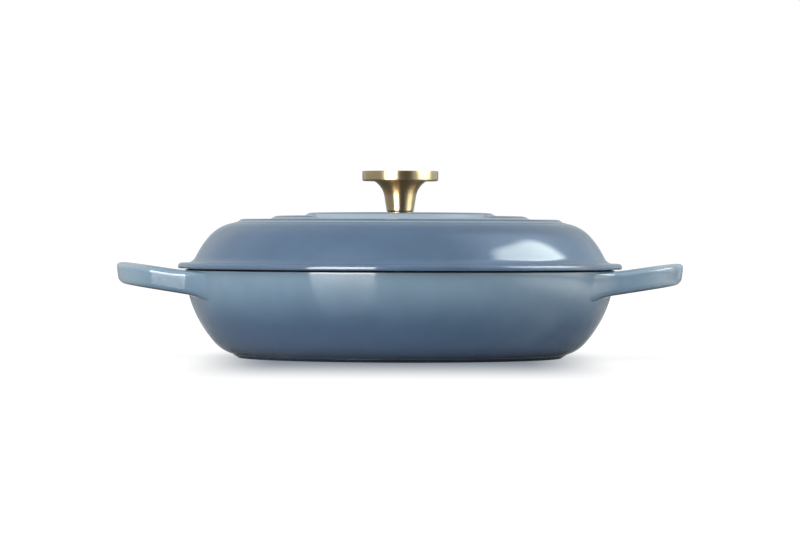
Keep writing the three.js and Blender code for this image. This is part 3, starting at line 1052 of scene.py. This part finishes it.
    def profile(self) -> tuple[Array, Array]:
        """Closed section from the bore's lower edge outwards, round the flange and back over the crown.

        Returns:
            Points with the crown still at the first land's level, and the number of the run each came from.
        """
        shoulder, dome = self.shoulder_centre, self.dome_centre
        inner_side, inner_shoulder = self.dome_side - self.wall, self.shoulder - self.wall
        inner_turn = math.degrees(math.asin((self.flange_bottom - dome[1]) / inner_side))
        inner_foot = dome[0] + inner_side * math.cos(math.radians(inner_turn))
        mouth = self.bowl.side_centre[0] + (self.bowl.side_radius - self.bowl.wall) * math.cos(
            math.radians(self.bowl.rim_lean))
        lip, low = mouth - self.lip_clearance, self.bowl.rim_height - self.lip_depth
        edge, out = self.flange_edge, self.flange_radius
        level = self.flange_top + self.cove
        cove_turn = math.asin((level - dome[1]) / (self.dome_side + self.cove))
        cove = (dome[0] + (self.dome_side + self.cove) * math.cos(cove_turn), level)
        cove_turn = math.degrees(cove_turn)
        first, second, third = self.rings
        run = self.step_run
        margin = run + self.ring_margin
        foot_turn = math.degrees(math.acos((self.ring_out + margin) / self.shoulder))
        foot = (first + margin, shoulder[1] + self.shoulder * math.sin(math.radians(foot_turn)))
        crown, under = self.crown, self.crown - self.wall
        ease = (shoulder[0] - 10, under + 0.7)  # where the underside's cone starts to run out
        ring = np.linspace(run, -run, 22)
        step = np.column_stack([first + ring, crown + self.ring_rise * self.step(ring)])
        stops = [first - run, second + run, second - run, third + run, third - run, self.bore]
        spans = [np.linspace(start, end, count)[1:]
                 for start, end, count in zip(stops, stops[1:], (8, 18, 16, 18, 12))]
        flat = np.r_[stops[0], np.concatenate(spans)]
        bottom, round_lip, fillet, round_low = self.flange_bottom, self.lip_edge, self.lip_fillet, self.low_edge
        runs = [
            line((self.bore, self.underside), (self.seat, self.underside), 3),
            line((self.seat, self.underside), ease, 14),
            line(ease, (shoulder[0], under), 4),
            arc(shoulder, inner_shoulder, 90, self.dome_turn, 16),
            arc(dome, inner_side, self.dome_turn, inner_turn, 12),
            line((inner_foot, bottom), (inner_foot, low + round_lip), 4),
            arc((inner_foot + round_lip, low + round_lip), round_lip, 180, 270, 5),
            arc((lip - round_lip, low + round_lip), round_lip, -90, 0, 5),
            line((lip, low + round_lip), (lip, bottom - fillet), 3),
            arc((lip + fillet, bottom - fillet), fillet, 180, 90, 4),
            line((lip + fillet, bottom), (out - round_low, bottom), 4),
            arc((out - round_low, bottom + round_low), round_low, -90, 0, 6),
            arc((out - edge, self.flange_top - edge), edge, 0, 90, 8),
            line((out - edge, self.flange_top), (cove[0], self.flange_top), 4),
            arc(cove, self.cove, -90, cove_turn - 180, 10),
            arc(dome, self.dome_side, cove_turn, self.dome_turn, 18),
            arc(shoulder, self.shoulder, self.dome_turn, foot_turn, 18),
            np.vstack([foot, step]),
            np.column_stack([flat, np.full(len(flat), crown + self.ring_rise)]),
            line((self.bore, crown + self.ring_rise), (self.bore, self.underside), 4)[:-1],
        ]
        return chain(*runs)

    def build(self, finishes: Finishes) -> None:
        """Builds and dresses the lid with its rest pads.

        Args:
            finishes: Materials of the pieces.
        """
        points, owner = self.profile()
        inside_end, seat_end, step, top, bore = 5, 11, 17, 18, 19  # numbers of the profile's runs
        angles = self.angles()
        grid = revolve(points, angles)
        crown = (owner == top) | ((owner == bore) & (points[:, 1] > self.crown))
        lift, pale = self.land(points[crown, 0][None, :], angles[:, None])
        grid[:, crown, 2] += lift
        pale_and_sheen = np.zeros(grid.shape[:2])
        pale_and_sheen[:, crown] = pale
        foot = owner == step
        pale_and_sheen[:, foot] = self.pales[0] * self.hollow((points[foot, 1] - self.crown) / self.ring_rise)
        zones = np.select([owner < inside_end, owner < seat_end], [2, 1], 0)
        piece(Sheet(grid, round_columns=True, zones=zones, values={"pale_and_sheen": pale_and_sheen}), "lid", Body.LID, Slot.ENAMEL,
              [finishes.lid, finishes.rim, finishes.sand], ["lid"])
        for number in range(3):
            piece(self.pad(number), f"rest_pad_{number + 1}", Body.LID, Slot.ENAMEL, [finishes.rim])

    def pad(self, number: int) -> Sheet:
        """A rest pad below the flange: a low block with rounded corners that narrows to its lower face.

        Args:
            number: Number of the pad; each stands a third of a turn from the last.

        Returns:
            The pad.
        """
        outline = rounded(self.pad_length / 2, self.pad_width / 2, 4 * (self.pad_corner,), 5)
        rim = self.bowl.rim_height
        levels = np.array([self.flange_bottom + 0.2, rim + 0.15, rim, rim])
        sizes = np.array([1.0, 1.0, 0.92, 0.0])
        along = np.outer(outline[:, 0], sizes)
        across = np.outer(outline[:, 1], sizes) - (self.bowl.rim_radius - self.bowl.wall / 2)
        turn = 2 * math.pi * number / 3
        grid = np.stack([along * math.cos(turn) - across * math.sin(turn),
                         along * math.sin(turn) + across * math.cos(turn),
                         np.broadcast_to(levels, along.shape)], axis=-1)
        return Sheet(grid, flip=True)


@dataclass
class Knob:
    """Turned knob: a flat head on a flared stem, with the screw and the washer that hold it from below.

    Sizes are in millimetres; the flare's turn is in degrees and the taper is a slope.
    """

    lid: Lid
    head_radius: float = 23.8
    head: float = 6.3
    head_edge: float = 1.2
    head_rim: float = 0.5
    dish: float = 0.4
    stem: float = 19.4
    stem_foot: float = 8.6
    stem_edge: float = 1.6
    taper: float = 0.156
    flare: float = 13.4
    flare_turn: float = 60.0
    spigot: float = 7.0
    spigot_depth: float = 1.0
    spigot_gap: float = 0.3
    washer_radius: float = 9.0
    washer: float = 1.4
    washer_edge: float = 0.3
    screw_radius: float = 3.0
    screw_head: float = 6.0
    screw_height: float = 3.3
    screw_edge: float = 1.6
    recess_reach: float = 3.1
    recess_half: float = 0.65
    recess_depth: float = 1.7
    recess_rows: int = 26
    sides: int = 192
    screw_sides: int = 128
    washer_sides: int = 96

    def __post_init__(self) -> None:
        """Works out the levels of the head and of the fastening."""
        self.head_bottom = self.lid.top + self.stem
        self.head_top = self.head_bottom + self.head
        self.washer_bottom = self.lid.underside - self.washer

    def cap_profile(self) -> Array:
        """Head: underside, band with a soft lower edge, crisp upper edge and a slightly dished top.

        Returns:
            Points from the axis below to the axis above.
        """
        bottom, peg = self.head_bottom, self.head_bottom - self.spigot_depth
        low = (self.head_radius - self.head_edge, bottom + self.head_edge)
        high = (self.head_radius - self.head_rim, self.head_top - self.head_rim)
        radius = np.linspace(high[0], 0, 30)
        dish = self.dish * (1 - (radius / radius[0]) ** 4)
        return chain(line((0, peg), (self.spigot, peg), 3), line((self.spigot, peg), (self.spigot, bottom), 2),
                     line((self.spigot, bottom), (low[0], bottom), 8), arc(low, self.head_edge, -90, 0, 10),
                     arc(high, self.head_rim, 0, 90, 8), np.column_stack([radius, self.head_top - dish]))[0]

    def stem_profile(self) -> Array:
        """Stem: a taper from the lid that opens into a flare of one arc below the head.

        Returns:
            Points from the bore on the lid to the spigot below the head.
        """
        start = math.degrees(math.atan(self.taper))
        level = self.head_bottom - self.flare * math.sin(math.radians(self.flare_turn))
        foot = self.lid.top + self.stem_edge
        waist_level = level + self.flare * math.sin(math.radians(start))
        waist = self.stem_foot + self.taper * (waist_level - foot)
        centre = (waist + self.flare * math.cos(math.radians(start)), level)
        return chain(line((self.lid.bore, self.lid.top), (self.stem_foot - self.stem_edge, self.lid.top), 3),
                     arc((self.stem_foot - self.stem_edge, foot), self.stem_edge, -90, 0, 7),
                     line((self.stem_foot, foot), (waist, waist_level), 10),
                     arc(centre, self.flare, 180 - start, 180 - self.flare_turn, 26),
                     line((centre[0] - self.flare * math.cos(math.radians(self.flare_turn)), self.head_bottom),
                          (self.spigot + self.spigot_gap, self.head_bottom), 4))[0]

    def screw_sheet(self) -> Sheet:
        """Pan head with a cross recess: a round head whose height drops, eased, inside two crossed slots.

        Returns:
            The head of the screw.
        """
        bottom, edge, rows = self.washer_bottom - self.screw_height, self.screw_edge, self.recess_rows
        flat = np.linspace(0, self.screw_head - edge, rows)
        rounded = arc((self.screw_head - edge, bottom + edge), edge, -90, 0, 10)[1:]
        points = np.vstack([np.column_stack([flat, np.full(rows, bottom)]), rounded,
                            line((self.screw_head, self.washer_bottom), (0.0, self.washer_bottom), 3)])
        grid = revolve(points, even_turn(self.screw_sides))
        across, along = np.abs(grid[..., 0]), np.abs(grid[..., 1])
        reach, half = self.recess_reach, self.recess_half
        arm = np.minimum(np.maximum(across - reach, along - half), np.maximum(across - half, along - reach))
        depth = self.recess_depth * (1 - smoothstep(arm, -0.25, 0.15))
        grid[:, :rows, 2] += depth[:, :rows]
        return Sheet(grid)

    def washer_sheet(self) -> Sheet:
        """Washer: a flat ring with a rounded lower edge.

        Returns:
            The washer.
        """
        low, high, edge = self.washer_bottom, self.lid.underside, self.washer_edge
        hole, out = self.screw_radius, self.washer_radius
        ring = chain(line((hole, low), (out - edge, low), 4), arc((out - edge, low + edge), edge, -90, 0, 5),
                     line((out, low + edge), (out, high), 2), line((out, high), (hole, high), 3),
                     line((hole, high), (hole, low), 2)[:-1])[0]
        return Sheet(revolve(ring, even_turn(self.washer_sides)), round_columns=True)

    def build(self, finishes: Finishes) -> None:
        """Builds and dresses the four pieces.

        Args:
            finishes: Materials of the pieces.
        """
        turn = even_turn(self.sides)
        gold, steel = (Slot.GOLD, [finishes.gold]), (Slot.STEEL, [finishes.steel])
        for sheet, name, look, node in (
                (Sheet(revolve(self.cap_profile(), turn)), "knob_head", gold, "knob_cap"),
                (Sheet(revolve(self.stem_profile(), turn)), "knob_flare", gold, "knob_stem"),
                (self.screw_sheet(), "screw_head", steel, "knob_screw"),
                (self.washer_sheet(), "washer", steel, "knob_washer")):
            piece(sheet, name, Body.LID, *look, [node])


@dataclass
class Card:
    """A lit card of the studio: a patch of a sphere round the pot that glows, softly faded at its edges.

    Attributes:
        name: Name of the card.
        bearing: Middle of the card, in degrees from the camera's side, positive to its right.
        elevation: Middle of the card, in degrees above the floor.
        width: Span of bearings.
        height: Span of elevations.
        distance: Distance from the pot in metres.
        brightness: Radiance in the middle.
        fade: Share of the half span over which the card turns clear.
        square: Squareness of its outline: 2 is an ellipse, 8 nearly a rectangle.
        colour: Colour of its light.
    """

    name: str
    bearing: float
    elevation: float
    width: float
    height: float
    distance: float
    brightness: float
    fade: float = 0.1
    square: float = 8.0
    colour: Colour = WHITE

    def build(self) -> None:
        """Builds the patch: bearings along the rows, elevations along the columns, brightness on the points.

        Across and up run from -1 to 1, and the card fades with the root of the sum of their powers.
        """
        across, up = np.meshgrid(np.linspace(-1, 1, 65), np.linspace(-1, 1, 49), indexing="ij")
        bearing = np.radians(self.bearing + across * self.width / 2)
        elevation = np.radians(self.elevation + up * self.height / 2)
        flat = np.cos(elevation)
        ball = np.stack([flat * np.sin(bearing), -flat * np.cos(bearing), np.sin(elevation)], axis=-1)
        reach = (np.abs(across) ** self.square + np.abs(up) ** self.square) ** (1.0 / self.square)
        glow = 1.0 - smoothstep(reach, 1.0 - self.fade, 1.0)
        sheet = Sheet(self.distance / MM * ball, round_rows=False, values={"glow": glow})
        recipe = Recipe(self.name)
        share = recipe.node("Attribute", attribute_name="glow").outputs["Fac"]
        light = recipe.node("Emission", {"Color": (*self.colour, 1.0), "Strength": self.brightness})
        clear = recipe.node("BsdfTransparent")
        both = recipe.node("MixShader", {"Fac": share, 1: clear.outputs[0], 2: light.outputs[0]})
        recipe.feed(recipe.surface, both.outputs[0])
        recipe.tree.nodes.remove(recipe.shader)
        thing = put(self.name, sheet.mesh(self.name), recipe.material)
        thing.visible_camera = thing.visible_shadow = thing.visible_diffuse = False
        LOG.info("%s at %.0f degrees", self.name, self.bearing)


@dataclass
class Studio:
    """White studio: camera, floor, lamp, cards and surroundings. The camera's sizes are in millimetres.

    Attributes:
        pixel: Width of a pixel at the pot's axis.
        distance: Distance from the camera to the pot's axis.
        eye: Height of the camera.
        aim: Height that it looks at.
        roll: Turn about its line of sight, in degrees.
        ambient: Strength of the surroundings' light on the pot.
        key: Strength of the lamp.
        key_from: Direction that it shines from.
        key_spread: Its softness, in degrees.
        floor_gap: How far the floor lies below the foot, in millimetres.
        shade: Colour of the painted shadow.
        shade_side: Distances in metres between which it fades to each side.
        shade_front: The same towards the front.
        shade_back: The same towards the back.
        own_light: Share of the floor's white that is light of its own.
        matte: Share of it that takes light.
        grey_near: Grey of the floor in reflections, near the pot.
        grey_far: The same further off.
        grey_span: Distances in metres between which the one turns into the other.
        painted_pool: Brightness of the painted pool of light on the floor, which only reflections show.
        pool_place: Its middle, in metres.
        pool_slim: Its width over its length from front to back.
        pool_span: Distances in metres from its middle between which it fades.
    """

    pixel: float = 0.626
    distance: float = 2504.0
    eye: float = 78.6
    aim: float = 57.0
    roll: float = 0.18
    ambient: float = 0.85
    key: float = 1.28
    key_from: tuple[float, float, float] = (-0.80, -0.46, 0.4)
    key_spread: float = 80.0
    floor_gap: float = 0.05
    shade: Colour = (0.25, 0.277, 0.32)
    shade_side: Span = (0.072, 0.135)
    shade_front: Span = (0.08, 0.43)
    shade_back: Span = (0.0, 0.2)
    own_light: float = 0.9
    matte: float = 0.15
    grey_near: float = 0.42
    grey_far: float = 0.1
    grey_span: Span = (0.25, 0.6)
    painted_pool: float = 1.35
    pool_place: Span = (0.34, -0.09)
    pool_slim: float = 0.62
    pool_span: Span = (0.04, 0.17)

    def camera(self) -> None:
        """Sets the long lens at the photograph's height and distance."""
        lens = bpy.data.cameras.new("camera")
        lens.sensor_width = SENSOR
        lens.lens = self.distance / self.pixel / FRAME_WIDTH * SENSOR
        lens.clip_end = 50.0
        place = Vector((0.0, -self.distance * MM, self.eye * MM))
        look = Vector((0.0, 0.0, self.aim * MM)) - place
        turn = look.to_track_quat("-Z", "Y").to_matrix().to_4x4()
        thing = put("camera", lens)
        thing.matrix_world = Matrix.Translation(place) @ turn @ Matrix.Rotation(math.radians(self.roll), 4, "Z")
        bpy.context.scene.camera = thing

    def world(self) -> None:
        """White surroundings for what looks at them, and a plain level of light for the rest."""
        world = bpy.data.worlds.new("studio")
        bpy.context.scene.world = world
        world.use_nodes = True
        wiring = Wiring(world.node_tree)
        back = world.node_tree.nodes["Background"].inputs
        looked_at = wiring.seen("Is Camera Ray", "Is Glossy Ray", "Is Transmission Ray")
        wiring.feed(back["Strength"], wiring.ranged(looked_at, 0.0, 1.0, self.ambient, 1.0))
        wiring.feed(back["Color"], (*WHITE, 1.0))

    def shown(self, recipe: Recipe, x: Socket, y: Socket) -> Socket:
        """The floor as the camera sees it: white, with the long soft part of the pot's shadow painted on.

        The shadow is the product of three shares, eased to the sides, the front and the back.

        Args:
            recipe: Material of the floor.
            x: Place across.
            y: Place from front to back.

        Returns:
            The shader.
        """
        side = recipe.eased(recipe.math("ABSOLUTE", x, 0.0), *self.shade_side)
        front = recipe.eased(recipe.math("MULTIPLY", y, -1.0), *self.shade_front)
        back = recipe.eased(y, *self.shade_back)
        share = recipe.math("MULTIPLY", side, recipe.math("MULTIPLY", front, back))
        tint = recipe.mix(share, WHITE, self.shade)
        pale = recipe.node("BsdfDiffuse", {"Color": recipe.mix(1.0, tint, 3 * (self.matte,), "MULTIPLY")})
        glow = recipe.node("Emission", {"Color": tint, "Strength": self.own_light})
        return recipe.node("AddShader", {0: pale.outputs[0], 1: glow.outputs[0]}).outputs[0]

    def mirrored(self, recipe: Recipe, x: Socket, y: Socket) -> Socket:
        """The floor as the pot reflects it: a glossy grey, darker further off, with a painted pool of light on the
        right.

        Args:
            recipe: Material of the floor.
            x: Place across.
            y: Place from front to back.

        Returns:
            The shader.
        """
        near = recipe.eased(recipe.length(recipe.place), *self.grey_span)
        grey = recipe.mix(near, 3 * (self.grey_far,), 3 * (self.grey_near,))
        recipe.set(Base_Color=grey, Roughness=0.15, IOR=1.3)
        across = recipe.math("SUBTRACT", x, self.pool_place[0])
        along = recipe.math("MULTIPLY", recipe.math("SUBTRACT", y, self.pool_place[1]), self.pool_slim)
        reach = recipe.length(recipe.node("CombineXYZ", {0: across, 1: along}).outputs[0])
        # Painted pool of light: for glossy rays the floor glows in an oval on the right.
        painted_pool = recipe.math("MULTIPLY", recipe.eased(reach, *self.pool_span), recipe.seen("Is Glossy Ray"))
        lit = recipe.node("Emission", {"Strength": recipe.math("MULTIPLY", painted_pool, self.painted_pool)})
        return recipe.node("AddShader", {0: recipe.shader.outputs[0], 1: lit.outputs[0]}).outputs[0]

    def floor(self) -> None:
        """Pale floor that keeps the pot's shadow: a wide disc, shown one way and mirrored by the pot another."""
        radius = np.array([0.0, 200.0, 600.0, 1500.0, 20000.0])
        disc = Sheet(revolve(np.column_stack([radius, np.full(len(radius), -self.floor_gap)]), even_turn(64)))
        recipe = Recipe("floor")
        parts = recipe.node("SeparateXYZ", {0: recipe.place}).outputs
        choice = recipe.node("MixShader", {"Fac": recipe.seen("Is Camera Ray", "Is Transmission Ray"),
                                           1: self.mirrored(recipe, parts["X"], parts["Y"]),
                                           2: self.shown(recipe, parts["X"], parts["Y"])})
        recipe.feed(recipe.surface, choice.outputs[0])
        put("floor", disc.mesh("floor"), recipe.material)

    def lamp(self) -> None:
        """Adds the wide soft lamp on the left, which is not seen in reflections."""
        light = bpy.data.lights.new("left_lamp", "SUN")
        light.energy = self.key
        light.angle = math.radians(self.key_spread)
        thing = put("left_lamp", light)
        thing.matrix_world = Vector(self.key_from).to_track_quat("Z", "Y").to_matrix().to_4x4()
        thing.visible_glossy = False

    def build(self) -> None:
        """Builds the whole studio."""
        bpy.context.scene.view_settings.view_transform = "Standard"
        self.camera()
        self.world()
        self.floor()
        self.lamp()
        for card in (Card("left_softbox", -29.5, 12.0, 36.0, 64.0, 1.6, 15.5),
                     Card("right_softbox", 81.0, 36.0, 57.0, 34.0, 0.62, 10.0, 0.35, 3.5, (0.9, 1.0, 0.98)),
                     Card("right_spill", 81.0, 5.0, 60.0, 38.0, 0.56, 2.4, 0.55, 4.0),
                     Card("right_fill", 122.0, 14.0, 64.0, 64.0, 0.7, 0.95, 0.9, 2.0, (0.8, 0.98, 1.12)),
                     Card("right_glow", 92.0, 45.0, 110.0, 80.0, 1.7, 2.1, 0.8, 2.0, (0.88, 1.0, 1.12)),
                     Card("front_flag", 15.0, 20.0, 46.0, 60.0, 2.9, 0.09, colour=(1.0, 0.62, 0.32)),
                     Card("side_walls", 0.0, 50.0, 332.0, 100.0, 3.2, 0.62),
                     Card("back_wall", 180.0, 44.0, 70.0, 108.0, 3.3, 0.52, colour=(0.9, 1.0, 1.06))):
            card.build()


def main() -> None:
    """Builds the pot, the lid, the knob and the studio."""
    logging.basicConfig(level=logging.INFO, format="%(name)s: %(message)s")
    finishes = Finishes.make()
    bowl = Bowl()
    bowl.build(finishes)
    LoopHandle(bowl).build(finishes)
    lid = Lid(bowl)
    lid.build(finishes)
    Knob(lid).build(finishes)
    Studio().build()


if __name__ == "__main__":
    main()
